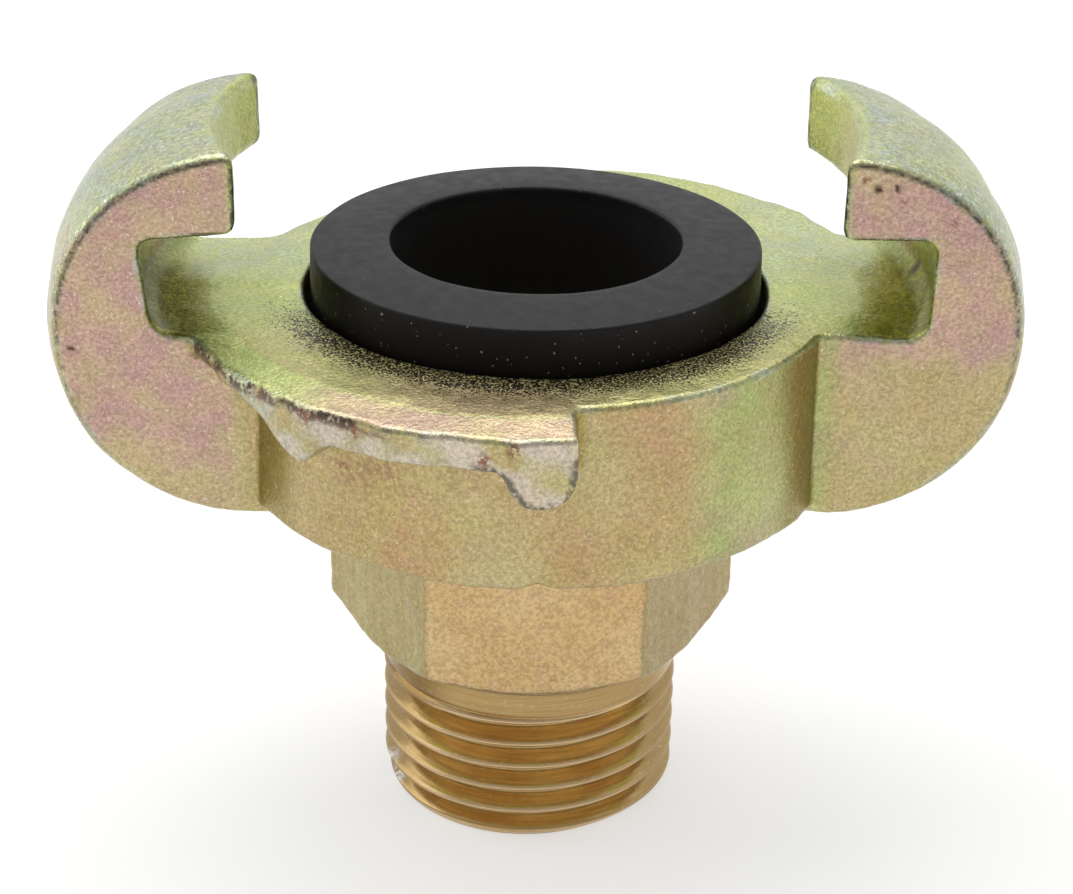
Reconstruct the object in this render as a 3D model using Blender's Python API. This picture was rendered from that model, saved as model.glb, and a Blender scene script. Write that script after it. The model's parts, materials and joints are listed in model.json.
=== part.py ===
"""Claw coupling half with a male pipe thread, for compressed air.

One iron casting carries two claws, two locking ledges, a hexagon and a threaded spigot.
A rubber sealing ring sits in an undercut pocket in its mating face.
The origin is the centre of the thread's end face.  +Z points to the mating face, and +X
runs through a claw.
"""
import math

import bmesh
import bpy

MM = 0.001

# Thread: G 1/2
THREAD_MAJOR_R = 10.4775 * MM
THREAD_MINOR_R = 9.3155 * MM
THREAD_PITCH = 1.8143 * MM
THREAD_END_R = 9.9 * MM
THREAD_LEADIN = 0.9 * MM
THREAD_FLANK_SHARE = 0.8
NECK_LENGTH = 1.8 * MM
RUNOUT_LENGTH = 1.2 * MM

# Heights above the thread's end face
HEX_BOTTOM = 12.2 * MM
DRUM_BOTTOM = 25.4 * MM
MATING_PLANE = 37.8 * MM
HOOK_UNDERSIDE = 44.5 * MM
HOOK_TOP = 49.7 * MM
CLAW_BOTTOM = 24.6 * MM
RING_TOP = 41.0 * MM

# Hexagon
ACROSS_FLATS = 24.5 * MM
CHAMFER_HEIGHT = 0.9 * MM
CHAMFER_ANGLE = math.radians(30)
HEX_EDGE_R = 0.3 * MM

# Drum and claws
DRUM_R = 20.0 * MM
DRUM_EDGE_R = 0.5 * MM
CLAW_DISTANCE = 42.0 * MM
CLAW_OUTER_R = 32.3 * MM
CLAW_WIDTH = 17.4 * MM
SLOT_R = 26.7 * MM
SLOT_FLOOR_DROP = 0.1 * MM
SLOT_CORNER_R = 1.0 * MM
SLOT_FLOOR_INNER_R = 17.9 * MM
CLAW_ROOT_R = 16.0 * MM

# Ledges, as azimuths in degrees on the side of the claw at 0 degrees
LEDGE_R = 24.0 * MM
LEDGE_INNER_R = 18.4 * MM
LEDGE_EDGE = 0.5 * MM
LEDGE_DROP = 0.15 * MM
LEDGE_THICKNESS = 2.6 * MM
LEDGE_ROOT_THICKNESS = 1.3 * MM
STOP_DEPTH = 4.2 * MM
LUG_DEPTH = 5.0 * MM
LEDGE_START = 12.0
STOP_START = 40.0
STOP_LOWEST = 50.5
STOP_END = 52.5
STOP_FADE = 56.5
LUG_CENTRE = 90.0
LUG_HALF_WIDTH = 5.3
LEDGE_STATIONS = (LEDGE_START, 21.0, 30.0, STOP_START, 45.0, STOP_LOWEST, STOP_END, STOP_FADE,
                  64.0, 72.0, 79.0)
LUG_STATIONS = (-1.0, -0.94, -0.7, -0.4, 0.0, 0.4, 0.7, 0.94, 1.0)

# Sealing ring and its pocket
RING_OUTER_R = 15.0 * MM
RING_INNER_R = 9.7 * MM
RING_EDGE_R = 0.4 * MM
POCKET_CLEARANCE = 0.45 * MM
RING_FOOT_R = 16.9 * MM
FOOT_HEIGHT = 2.4 * MM
POCKET_DEPTH = 6.6 * MM
FLOOR_GAP = 0.3 * MM
BORE_R = 7.0 * MM

# How finely curves are cut into flats, and how far joined shapes reach into each other
TURN_STEPS = 72
THREAD_STEPS = 48
THREAD_ROWS_PER_PITCH = 6
BACK_STEPS = 18
EDGE_STEPS = 3
FLOOR_EDGE_STEPS = 2
SMOOTH_BELOW = math.radians(30)
OVERLAP = 1.0 * MM


def clear_scene():
    for item in list(bpy.data.objects):
        bpy.data.objects.remove(item, do_unlink=True)


def make_material(name, colour, roughness, metallic):
    material = bpy.data.materials.new(name)
    material.use_nodes = True
    shader = material.node_tree.nodes["Principled BSDF"]
    shader.inputs["Base Color"].default_value = (*colour, 1.0)
    shader.inputs["Roughness"].default_value = roughness
    shader.inputs["Metallic"].default_value = metallic
    material.diffuse_color = (*colour, 1.0)
    return material


def add_object(name, form, smooth_below=None):
    """Turn a bmesh into an object with its normals pointing out."""
    bmesh.ops.recalc_face_normals(form, faces=form.faces)
    mesh = bpy.data.meshes.new(name)
    form.to_mesh(mesh)
    form.free()
    if smooth_below is not None:
        mesh.shade_smooth()
        mesh.set_sharp_from_angle(angle=smooth_below)
    item = bpy.data.objects.new(name, mesh)
    bpy.context.scene.collection.objects.link(item)
    return item


def add_tool(name, form):
    """Add an object that only shapes another one."""
    tool = add_object(name, form)
    tool.hide_render = True
    tool.display_type = "WIRE"
    return tool


def arc(centre_r, centre_z, radius, start, end, steps):
    """Points on an arc of a turned profile, angles in degrees from +r towards +z."""
    points = []
    for step in range(steps + 1):
        angle = math.radians(start + (end - start) * step / steps)
        points.append((centre_r + radius * math.cos(angle), centre_z + radius * math.sin(angle)))
    return points


def turned(profile, steps=TURN_STEPS):
    """Spin a closed (r, z) profile about the Z axis."""
    form = bmesh.new()
    rings = []
    for step in range(steps):
        angle = 2 * math.pi * step / steps
        ring = [form.verts.new((r * math.cos(angle), r * math.sin(angle), z)) for r, z in profile]
        rings.append(ring)
    count = len(profile)
    for step in range(steps):
        here = rings[step]
        there = rings[(step + 1) % steps]
        for i in range(count):
            j = (i + 1) % count
            form.faces.new((here[i], there[i], there[j], here[j]))
    return form


def turned_to_axis(profile, steps=TURN_STEPS):
    """Spin an open (r, z) profile, bottom to top, and close both ends with flat caps."""
    form = bmesh.new()
    rings = []
    for r, z in profile:
        ring = []
        for step in range(steps):
            angle = 2 * math.pi * step / steps
            ring.append(form.verts.new((r * math.cos(angle), r * math.sin(angle), z)))
        rings.append(ring)
    for low, high in zip(rings, rings[1:]):
        for step in range(steps):
            after = (step + 1) % steps
            form.faces.new((low[step], low[after], high[after], high[step]))
    form.faces.new(rings[0])
    form.faces.new(rings[-1])
    return form


def drum():
    """The round head between the hexagon and the mating face."""
    edge = DRUM_EDGE_R
    profile = [(DRUM_R - edge, DRUM_BOTTOM)]
    profile += arc(DRUM_R - edge, DRUM_BOTTOM + edge, edge, -90, 0, EDGE_STEPS)[1:]
    profile.append((DRUM_R, MATING_PLANE - edge / 2))
    profile.append((DRUM_R - edge / 2, MATING_PLANE))
    return turned_to_axis(profile)


def hexagon():
    """The spanner hexagon, with corners on the X axis, running up into the drum."""
    form = bmesh.new()
    corner_r = ACROSS_FLATS / math.sqrt(3)
    outline = []
    for side in range(6):
        angle = math.radians(60 * side)
        outline.append((corner_r * math.cos(angle), corner_r * math.sin(angle)))
    low = [form.verts.new((x, y, HEX_BOTTOM)) for x, y in outline]
    base = form.faces.new(low)
    grown = bmesh.ops.extrude_face_region(form, geom=[base])
    lifted = [part for part in grown["geom"] if isinstance(part, bmesh.types.BMVert)]
    height = DRUM_BOTTOM + OVERLAP - HEX_BOTTOM
    bmesh.ops.translate(form, vec=(0, 0, height), verts=lifted)
    uprights = [edge for edge in form.edges if abs(edge.verts[0].co.z - edge.verts[1].co.z) > height / 2]
    bmesh.ops.bevel(form, geom=uprights, offset=HEX_EDGE_R, segments=2, profile=0.5, affect="EDGES")
    return form


def hexagon_envelope():
    """The turned shape that gives the hexagon its 30 degree chamfer."""
    flat_r = ACROSS_FLATS / 2
    slope = math.tan(CHAMFER_ANGLE)
    bottom_r = flat_r - CHAMFER_HEIGHT / slope
    wide_r = ACROSS_FLATS
    wide_z = HEX_BOTTOM + (wide_r - bottom_r) * slope
    top_z = DRUM_BOTTOM + 2 * OVERLAP
    start_r = bottom_r - OVERLAP / slope
    return turned_to_axis([(start_r, HEX_BOTTOM - OVERLAP), (wide_r, wide_z), (wide_r, top_z)])


def smooth_step(value):
    value = min(max(value, 0.0), 1.0)
    return value * value * (3 - 2 * value)


def thread_radius(angle, z):
    """Radius of the right-hand threaded spigot at an angle and a height."""
    phase = (z / THREAD_PITCH - angle / (2 * math.pi)) % 1.0
    ridge = 1 - abs(2 * phase - 1)
    rise = (ridge - 0.5) / THREAD_FLANK_SHARE + 0.5
    depth = (THREAD_MAJOR_R - THREAD_MINOR_R) * (1 - min(max(rise, 0.0), 1.0))
    thread_top = HEX_BOTTOM - NECK_LENGTH
    depth *= smooth_step((thread_top - z) / RUNOUT_LENGTH)
    radius = THREAD_MAJOR_R - depth
    lead_in = THREAD_END_R + z * (THREAD_MAJOR_R - THREAD_END_R) / THREAD_LEADIN
    return min(radius, lead_in)


def spigot():
    """The neck and the thread, one closed sheet of rings running up into the hexagon."""
    form = bmesh.new()
    thread_top = HEX_BOTTOM - NECK_LENGTH
    row_count = round(thread_top / THREAD_PITCH * THREAD_ROWS_PER_PITCH)
    heights = [thread_top * row / row_count for row in range(row_count + 1)]
    heights.append(HEX_BOTTOM + OVERLAP)
    rings = []
    for z in heights:
        ring = []
        for step in range(THREAD_STEPS):
            angle = 2 * math.pi * step / THREAD_STEPS
            r = thread_radius(angle, z)
            ring.append(form.verts.new((r * math.cos(angle), r * math.sin(angle), z)))
        rings.append(ring)
    for low, high in zip(rings, rings[1:]):
        for step in range(THREAD_STEPS):
            after = (step + 1) % THREAD_STEPS
            form.faces.new((low[step], low[after], high[after], high[step]))
    form.faces.new(rings[0])
    form.faces.new(rings[-1])
    return form


def claw_ring():
    """Full turned ring with the section of a claw: hook, slot, round back and root."""
    tip_r = CLAW_DISTANCE / 2
    back_r = (HOOK_TOP - CLAW_BOTTOM) / 2
    back_centre_r = CLAW_OUTER_R - back_r
    back_z = CLAW_BOTTOM + back_r
    floor = MATING_PLANE - SLOT_FLOOR_DROP
    corner = SLOT_CORNER_R
    profile = [(tip_r, HOOK_UNDERSIDE)]
    profile += arc(SLOT_R - corner, HOOK_UNDERSIDE - corner, corner, 90, 0, EDGE_STEPS)
    profile += arc(SLOT_R - corner / 2, floor + corner / 2, corner / 2, 0, -90, FLOOR_EDGE_STEPS)
    profile.append((SLOT_FLOOR_INNER_R, floor))
    profile.append((CLAW_ROOT_R, DRUM_BOTTOM + OVERLAP))
    tip_angle = math.degrees(math.acos((tip_r - back_centre_r) / back_r))
    profile += arc(back_centre_r, back_z, back_r, -90, tip_angle, BACK_STEPS)
    return turned(profile)


def box(low, high):
    """A block between two corners."""
    form = bmesh.new()
    bmesh.ops.create_cube(form, size=1.0)
    for vert in form.verts:
        for axis in range(3):
            vert.co[axis] = high[axis] if vert.co[axis] > 0 else low[axis]
    return form


def ledge_depth(azimuth):
    """How far the ledge hangs below its top: thin at the claw, a stop tooth, then the plain ledge."""
    corners = [(STOP_START, LEDGE_ROOT_THICKNESS), (STOP_LOWEST, STOP_DEPTH), (STOP_END, STOP_DEPTH),
               (STOP_FADE, LEDGE_THICKNESS)]
    if azimuth <= STOP_START:
        return LEDGE_ROOT_THICKNESS
    for (start, here), (end, there) in zip(corners, corners[1:]):
        if azimuth <= end:
            return here + (there - here) * (azimuth - start) / (end - start)
    offset = (azimuth - LUG_CENTRE) / LUG_HALF_WIDTH
    if abs(offset) >= 1:
        return LEDGE_THICKNESS
    return LEDGE_THICKNESS + (LUG_DEPTH - LEDGE_THICKNESS) * math.sqrt(1 - offset ** 2)


def ledge(turn):
    """One locking ledge, its stop next to the claw and the safety lug at its end."""
    top = MATING_PLANE - LEDGE_DROP
    azimuths = list(LEDGE_STATIONS)
    azimuths += [LUG_CENTRE + LUG_HALF_WIDTH * part for part in LUG_STATIONS]
    form = bmesh.new()
    sections = []
    for azimuth in azimuths:
        angle = math.radians(azimuth + turn)
        bottom = top - ledge_depth(azimuth)
        section = [(LEDGE_INNER_R, bottom), (LEDGE_R, bottom), (LEDGE_R, top - LEDGE_EDGE),
                   (LEDGE_R - LEDGE_EDGE, top), (LEDGE_INNER_R, top)]
        verts = [form.verts.new((r * math.cos(angle), r * math.sin(angle), z)) for r, z in section]
        sections.append(verts)
    for here, there in zip(sections, sections[1:]):
        for i in range(len(here)):
            j = (i + 1) % len(here)
            form.faces.new((here[i], here[j], there[j], there[i]))
    form.faces.new(sections[0])
    form.faces.new(sections[-1])
    return form


def bore_cutter():
    return turned_to_axis([(BORE_R, -OVERLAP), (BORE_R, MATING_PLANE + OVERLAP)])


def pocket_cutter():
    """The undercut pocket for the sealing ring."""
    mouth_r = RING_OUTER_R + POCKET_CLEARANCE
    foot_r = RING_FOOT_R + FLOOR_GAP
    floor = MATING_PLANE - POCKET_DEPTH
    shoulder = floor + FOOT_HEIGHT + 2 * FLOOR_GAP
    return turned_to_axis([(foot_r, floor), (foot_r, shoulder), (mouth_r, shoulder + foot_r - mouth_r),
                           (mouth_r, MATING_PLANE + OVERLAP)])


def combine(item, tool, operation):
    step = item.modifiers.new(tool.name, "BOOLEAN")
    step.operation = operation
    step.object = tool
    step.solver = "EXACT"


def build_body(material):
    body = add_object("coupling_body", drum(), SMOOTH_BELOW)
    hex_tool = add_tool("hexagon_form", hexagon())
    combine(hex_tool, add_tool("hexagon_envelope", hexagon_envelope()), "INTERSECT")
    claws = add_tool("claws_form", claw_ring())
    half = CLAW_WIDTH / 2
    reach = CLAW_OUTER_R + OVERLAP
    slab = box((-reach, -half, 0), (reach, half, HOOK_TOP + OVERLAP))
    combine(claws, add_tool("claw_width_slab", slab), "INTERSECT")
    combine(body, hex_tool, "UNION")
    combine(body, add_tool("spigot_form", spigot()), "UNION")
    combine(body, claws, "UNION")
    for index, turn in enumerate((0, 180)):
        combine(body, add_tool(f"ledge_form_{index + 1}", ledge(turn)), "UNION")
    combine(body, add_tool("pocket_cutter", pocket_cutter()), "DIFFERENCE")
    combine(body, add_tool("bore_cutter", bore_cutter()), "DIFFERENCE")
    body.data.materials.append(material)
    return body


def build_ring(material):
    """The rubber ring: a thick sleeve with a wider foot that the pocket's undercut holds."""
    bottom = MATING_PLANE - POCKET_DEPTH + FLOOR_GAP
    foot_top = bottom + FOOT_HEIGHT
    edge = RING_EDGE_R
    profile = [(RING_INNER_R, bottom), (RING_FOOT_R, bottom), (RING_FOOT_R, foot_top)]
    profile.append((RING_OUTER_R, foot_top + RING_FOOT_R - RING_OUTER_R))
    profile += arc(RING_OUTER_R - edge, RING_TOP - edge, edge, 0, 90, EDGE_STEPS)
    profile.append((RING_INNER_R, RING_TOP))
    ring = add_object("sealing_ring", turned(profile), SMOOTH_BELOW)
    ring.data.materials.append(material)
    return ring


def main():
    clear_scene()
    chromate = make_material("yellow_chromate", (0.52, 0.45, 0.22), 0.42, 0.75)
    rubber = make_material("black_rubber", (0.05, 0.05, 0.055), 0.62, 0.0)
    build_body(chromate)
    build_ring(rubber)


main()
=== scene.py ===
"""Looks of a claw coupling half: a cast, yellow-chromated body with a machined thread, and its rubber ring.

The casting is meshed from a distance field, so that its edges, fillets and cast skin are as soft
as on the real piece.  Lengths in this file are in millimetres until a mesh is made.
"""

import json
import math

import bpy
import numpy as np
from mathutils import Matrix, Vector


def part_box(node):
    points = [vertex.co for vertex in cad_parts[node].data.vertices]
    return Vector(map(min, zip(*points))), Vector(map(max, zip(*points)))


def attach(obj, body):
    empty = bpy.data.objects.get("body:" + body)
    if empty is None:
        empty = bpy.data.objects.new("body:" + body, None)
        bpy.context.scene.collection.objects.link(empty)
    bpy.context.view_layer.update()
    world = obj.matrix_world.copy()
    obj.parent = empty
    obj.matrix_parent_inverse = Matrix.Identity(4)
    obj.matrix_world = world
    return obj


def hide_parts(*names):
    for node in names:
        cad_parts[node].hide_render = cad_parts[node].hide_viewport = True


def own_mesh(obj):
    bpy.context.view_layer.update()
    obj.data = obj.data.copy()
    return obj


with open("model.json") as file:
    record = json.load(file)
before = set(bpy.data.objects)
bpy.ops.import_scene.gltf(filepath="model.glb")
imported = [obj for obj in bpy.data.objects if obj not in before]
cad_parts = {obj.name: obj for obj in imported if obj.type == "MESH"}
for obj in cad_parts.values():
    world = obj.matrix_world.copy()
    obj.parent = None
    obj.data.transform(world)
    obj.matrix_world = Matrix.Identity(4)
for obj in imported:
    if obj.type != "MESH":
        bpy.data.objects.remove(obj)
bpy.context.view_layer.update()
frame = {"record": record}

MM = 0.001
MOUNTS = {mount["name"]: [value / MM for value in mount["pos_m"]] for mount in frame["record"]["mounts"]}
_, BODY_HIGH = [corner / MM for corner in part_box("coupling_body")]
RING_LOW, RING_HIGH = [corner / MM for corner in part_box("sealing_ring")]

# Sizes that the CAD model gives
HOOK_TOP = BODY_HIGH.z
CLAW_OUTER_R = BODY_HIGH.x - 0.02  # the skin's roughness stays inside the CAD box
LEDGE_R = BODY_HIGH.y
HOOK_UNDERSIDE = MOUNTS["claw_grip_right"][2]
FLAT_R = -MOUNTS["spanner_flat_front"][1]
RING_TOP = RING_HIGH.z
RING_BOTTOM = RING_LOW.z
RING_FOOT_R = RING_HIGH.x

# Heights of the casting
MATING_PLANE = 37.8
DRUM_BOTTOM = 25.4
HEX_BOTTOM = 12.2
CLAW_BOTTOM = 24.6
FLOOR_SLOPE = 0.1
FLOOR_DROP = 0.3
FLOOR_SLOPE_FROM_R = 21.0

# Radii and widths of the casting
DRUM_R = 20.0
DRUM_DRAFT, DRUM_DRAFT_HEIGHT = 0.15, 12
TIP_R = 20.6
SLOT_R_LEFT, SLOT_R_RIGHT = 26.7, 26.45
CLAW_FRONT, CLAW_BACK = -8.7, 9.0
BACK_SQUARENESS = 2.1
HEX_OVERSIZE = 0.13
BORE_R = 7.0
POCKET_R = 15.45
POCKET_UNDERCUT_R = 17.2
POCKET_SHOULDER = 34.2
POCKET_FLOOR = RING_BOTTOM - 0.3
RING_OUTER_R = 15.0
RING_INNER_R = 9.7
RING_EDGE = 0.22

# How the two claws differ, as cast: left, right
CLAW_INSET = (0.2, 0.05)
CLAW_LIFT = (0.15, 0.4)
SLOT_LEAN = (0.11, 0.02)

# Waves of the drum's lower rim (height, waves in a turn, start in degrees), and its one raised nick
# (degrees, width in degrees, height)
RIM_WAVES = ((0.07, 5, 20), (0.05, 11, 0))
RIM_NICK = (269.6, 2.1, 0.34)

# Dent and nub on the hexagon's front flat: depth, place, size
HEX_DENT = (0.16, (-4.6, -12.3, 19.0), 1.1)
HEX_NUB = (-0.22, (1.6, -12.2, 14.0), 0.5)

# Cast skin: height, seed, wave length
SKIN_SWELL = (0.035, 3, 7.0)
SKIN_RIPPLE = (0.010, 4, 2.2)
SKIN_LUMPS = (0.014, 5, 1.3)

# Edge and fillet radii
RIM_EDGE = 0.45
CLAW_EDGE = 0.6
CLAW_FILLET = 0.35
LEDGE_EDGE = 0.4
LEDGE_FILLET = 0.9
SLOT_CORNER = 1.0
SLOT_FLOOR_CORNER = 1.4
TIP_EDGE = 0.9
CUT_EDGE = 0.4
HEX_EDGE = 0.45
HEX_CHAMFER_EDGE = 0.25
HEX_FOOT_EDGE = 0.2
HEX_FILLET = 0.8
CLAW_FOOT_EDGE = 0.5
MOUTH_EDGE = 0.3

# Chamfer of the hexagon
CHAMFER_ANGLE = math.radians(30)
CHAMFER_HEIGHT = 0.9

# Ledge outline: degrees from a claw, depth below the mating plane
LEDGE_FROM, LEDGE_TO = 12.0, 95.3
LEDGE_ROOT_DEPTH, LEDGE_ROOT_TO = 1.35, 56.0
LEDGE_DEPTH, LEDGE_STEP = 2.6, 53.0
TOOTH = ((38.5, 1.0), (50.2, 4.25), (52.8, 4.25), (57.5, 2.2))
LUG_AT, LUG_R, LUG_DEPTH = 90.0, 2.2, 5.0
ROOT_EDGE, TOOTH_EDGE, LEDGE_END_EDGE = 0.3, 0.5, 0.35
STEP_FILLET, TOOTH_FILLET, LUG_FILLET = 0.5, 0.6, 0.9

# Thread: G 1/2
THREAD_MAJOR_R = 10.4775
THREAD_DEPTH = 1.162
THREAD_PITCH = 1.8143
THREAD_TOP = 10.3
THREAD_RUNOUT = 1.3
THREAD_END_R = 9.9
THREAD_LEADIN = 0.95
THREAD_PHASE = 0.57
THREAD_ROUNDING = 0.86
NECK_GROOVE_DEPTH = 0.13
FLARE_R = 0.7
FLARE_BELOW_HEX = 0.65
SPIGOT_OVERLAP = 0.5

# Section of the rubber ring above its foot
RING_FOOT_HEIGHT = 2.4
RING_NECK_LOW, RING_NECK_HIGH = 4.2, 4.6
RING_CROWN = 0.28
RING_INNER_EDGE = 0.25

# Studio: sky brightness, floor grey and glow, and lights (name, place, size, watts) in metres
SKY_FRONT, SKY_BACK = 0.42, 0.98
FLOOR_GREY, FLOOR_GLOW, FLOOR_HALF = 0.50, 0.56, 3.0
LIGHTS = (("overhead", (-0.05, 0.15, 0.55), (0.5, 0.4), 1.6),
          ("left", (-0.40, 0.12, 0.20), (0.30, 0.30), 0.34))
LIGHTS_AIM = (0, 0, 0.03)

# Camera: degrees and millimetres
VIEW_AZIMUTH, VIEW_ELEVATION, VIEW_ROLL = -1.63, 26.10, 0.95
VIEW_DISTANCE, VIEW_LENS = 165.0, 79.95
VIEW_TARGET = (0.26, 0.0, 25.49)

CELL = 0.25
COARSE = 5


# ---------------------------------------------------------------------------------- distance field

def smooth_step(value):
    """0 below 0, 1 above 1, and a smooth rise between."""
    value = np.clip(value, 0, 1)
    return value * value * (3 - 2 * value)


def by_side(x, left, right):
    """One value on the left of the object and another on its right."""
    return np.where(x < 0, left, right)


def union_round(a, b, radius):
    """Union of two fields with a concave fillet between them."""
    gap = np.hypot(np.maximum(radius - a, 0), np.maximum(radius - b, 0))
    return np.maximum(radius, np.minimum(a, b)) - gap


def cut_round(a, b, radius):
    """Common part of two fields with a rounded convex edge."""
    gap = np.hypot(np.maximum(radius + a, 0), np.maximum(radius + b, 0))
    return np.minimum(-radius, np.maximum(a, b)) + gap


def waves(x, y, z, seed, length, count=7):
    """Smooth random field of about unit size, made of sine waves some millimetres long."""
    draw = np.random.default_rng(seed)
    total = np.zeros_like(x)
    for _ in range(count):
        heading = draw.normal(size=3)
        heading *= 2 * math.pi / (length * draw.uniform(0.7, 1.4) * np.linalg.norm(heading))
        total += np.sin(heading[0] * x + heading[1] * y + heading[2] * z + draw.uniform(0, 2 * math.pi))
    return total * math.sqrt(2 / count)


def blob(x, y, z, place, size):
    """One at a place, fading to nothing a few sizes away."""
    away = (x - place[0]) ** 2 + (y - place[1]) ** 2 + (z - place[2]) ** 2
    return np.exp(-away / (2 * size * size))


def degrees_from_claw(x, y):
    """Azimuth from the nearest claw, 0 to 180 degrees: the casting repeats each half turn."""
    return np.degrees(np.arctan2(y, x)) % 180.0


def round_back(across, up):
    """Length of a vector, measured so that a circle becomes a slightly squarer curve."""
    power = BACK_SQUARENESS
    return (np.abs(across) ** power + np.abs(up) ** power) ** (1 / power)


def half_planes(across, depth, corners, rounding):
    """Convex outline open at the top, through corners given left to right."""
    field = None
    for (x0, d0), (x1, d1) in zip(corners, corners[1:]):
        length = math.hypot(x1 - x0, d1 - d0)
        side = ((depth - d0) * (x1 - x0) - (across - x0) * (d1 - d0)) / length
        field = side if field is None else cut_round(field, side, rounding)
    return field


def ledge_field(x, y, z, rho):
    """Locking ledge: a thin root at the claw, a stop tooth, the plain ledge and the lug at its end."""
    per_degree = LEDGE_R * math.pi / 180
    across = degrees_from_claw(x, y) * per_degree
    depth = MATING_PLANE - z
    root = cut_round(depth - LEDGE_ROOT_DEPTH, across - LEDGE_ROOT_TO * per_degree, ROOT_EDGE)
    root = np.maximum(root, LEDGE_FROM * per_degree - across)
    strip = np.maximum(depth - LEDGE_DEPTH, np.maximum(LEDGE_STEP * per_degree - across,
                                                       across - LEDGE_TO * per_degree))
    tooth = half_planes(across, depth, [(a * per_degree, d) for a, d in TOOTH], TOOTH_EDGE)
    lug_centre = LUG_DEPTH - LUG_R
    lug = np.hypot(across - LUG_AT * per_degree, np.maximum(depth - lug_centre, 0)) - LUG_R
    outline = union_round(union_round(root, strip, STEP_FILLET), tooth, TOOTH_FILLET)
    outline = union_round(outline, lug, LUG_FILLET)
    outline = cut_round(outline, across - LEDGE_TO * per_degree, LEDGE_END_EDGE)
    outline = np.maximum(outline, -depth - 1)
    uneven = 0.12 * np.sin(across * 0.9 + 0.6) + 0.06 * np.sin(across * 2.3)
    rim = rho - LEDGE_R - np.minimum(uneven - 0.16, 0)
    return cut_round(outline, rim, LEDGE_EDGE)


def casting_field(x, y, z, skin=True):
    """Signed distance to the whole casting above its spigot, negative inside."""
    rho = np.hypot(x, y)
    azimuth = np.degrees(np.arctan2(y, x)) % 360.0
    low_rim = DRUM_BOTTOM
    for height, in_a_turn, start in RIM_WAVES:
        low_rim = low_rim + height * np.sin(np.radians(azimuth * in_a_turn + start))
    nick_at, nick_width, nick_height = RIM_NICK
    low_rim = low_rim + nick_height * np.exp(-((azimuth - nick_at) / nick_width) ** 2)
    drum_r = DRUM_R + DRUM_DRAFT * smooth_step((MATING_PLANE - z) / DRUM_DRAFT_HEIGHT)
    stock = cut_round(rho - drum_r, low_rim - z, RIM_EDGE)

    back_r = (HOOK_TOP - CLAW_BOTTOM) / 2
    outer_r = CLAW_OUTER_R - by_side(x, *CLAW_INSET)
    back = round_back(rho - (outer_r - back_r), z - (CLAW_BOTTOM + back_r)) - back_r
    lift = by_side(x, *CLAW_LIFT) * smooth_step((22.0 - rho) / 3)
    back = cut_round(back, CLAW_BOTTOM + lift - z, CLAW_FOOT_EDGE)
    back = cut_round(back, np.where(z > HOOK_UNDERSIDE, TIP_R - rho, -5.0), TIP_EDGE)
    claw = cut_round(back, np.maximum(CLAW_FRONT - y, y - CLAW_BACK), CLAW_EDGE)
    stock = union_round(stock, claw, CLAW_FILLET)
    stock = union_round(stock, ledge_field(x, y, z, rho), LEDGE_FILLET)

    droops_from = FLOOR_SLOPE_FROM_R + 3.0 * np.clip(x / 10, -1, 1) * smooth_step(y / 6)
    floor = MATING_PLANE - np.clip((rho - droops_from) * FLOOR_SLOPE, 0, FLOOR_DROP)
    inward = np.clip((rho - TIP_R) / 6, 0, 1)
    underside = HOOK_UNDERSIDE - by_side(x, 0.2 + 0.35 * inward, 0.4)
    lean = by_side(x, *SLOT_LEAN) * np.clip(HOOK_UNDERSIDE - z, 0, 7)
    wall = by_side(x, SLOT_R_LEFT, SLOT_R_RIGHT) - lean
    slot = cut_round(rho - wall, z - underside, SLOT_CORNER)
    slot = cut_round(slot, floor - z, SLOT_FLOOR_CORNER)
    between_tips = np.maximum(rho - TIP_R, (MATING_PLANE + HOOK_UNDERSIDE) / 2 - z)
    air = union_round(slot, between_tips, SLOT_CORNER)
    stock = cut_round(stock, -air, CUT_EDGE)

    hexagon = None
    for turn in (30, 90, 150):
        side = math.radians(turn)
        flat = np.abs(x * math.cos(side) + y * math.sin(side)) - FLAT_R - HEX_OVERSIZE
        hexagon = flat if hexagon is None else cut_round(hexagon, flat, HEX_EDGE)
    cone = (rho - FLAT_R) * math.sin(CHAMFER_ANGLE)
    cone = cone - (z - HEX_BOTTOM - CHAMFER_HEIGHT) * math.cos(CHAMFER_ANGLE)
    hexagon = cut_round(hexagon, cone, HEX_CHAMFER_EDGE)
    hexagon = cut_round(hexagon, HEX_BOTTOM - z, HEX_FOOT_EDGE)
    hexagon = np.maximum(hexagon, z - DRUM_BOTTOM - 2)
    for depth, place, size in (HEX_DENT, HEX_NUB):
        hexagon = hexagon + depth * blob(x, y, z, place, size)
    whole = union_round(stock, hexagon, HEX_FILLET)

    if skin:
        for height, seed, length in (SKIN_SWELL, SKIN_RIPPLE):
            whole = whole + height * waves(x, y, z, seed, length)
        height, seed, length = SKIN_LUMPS
        whole = whole + height * waves(x, y, z, seed, length, 9) * smooth_step((DRUM_BOTTOM + 3 - z) / 4)
    mouth = np.maximum(rho - POCKET_R, POCKET_FLOOR - z)
    undercut = np.maximum(rho - POCKET_UNDERCUT_R, np.maximum(POCKET_FLOOR - z, z - POCKET_SHOULDER))
    whole = cut_round(whole, -mouth, MOUTH_EDGE)
    whole = np.maximum(whole, -undercut)
    whole = np.maximum(whole, BORE_R - rho)
    return whole


def gradient(field, points, step=0.02):
    """The field's slope at points, as one vector each."""
    slope = np.empty_like(points)
    for axis in range(3):
        shift = np.zeros(3)
        shift[axis] = step
        ahead, behind = points + shift, points - shift
        slope[:, axis] = (field(*ahead.T) - field(*behind.T)) / (2 * step)
    return slope


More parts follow.
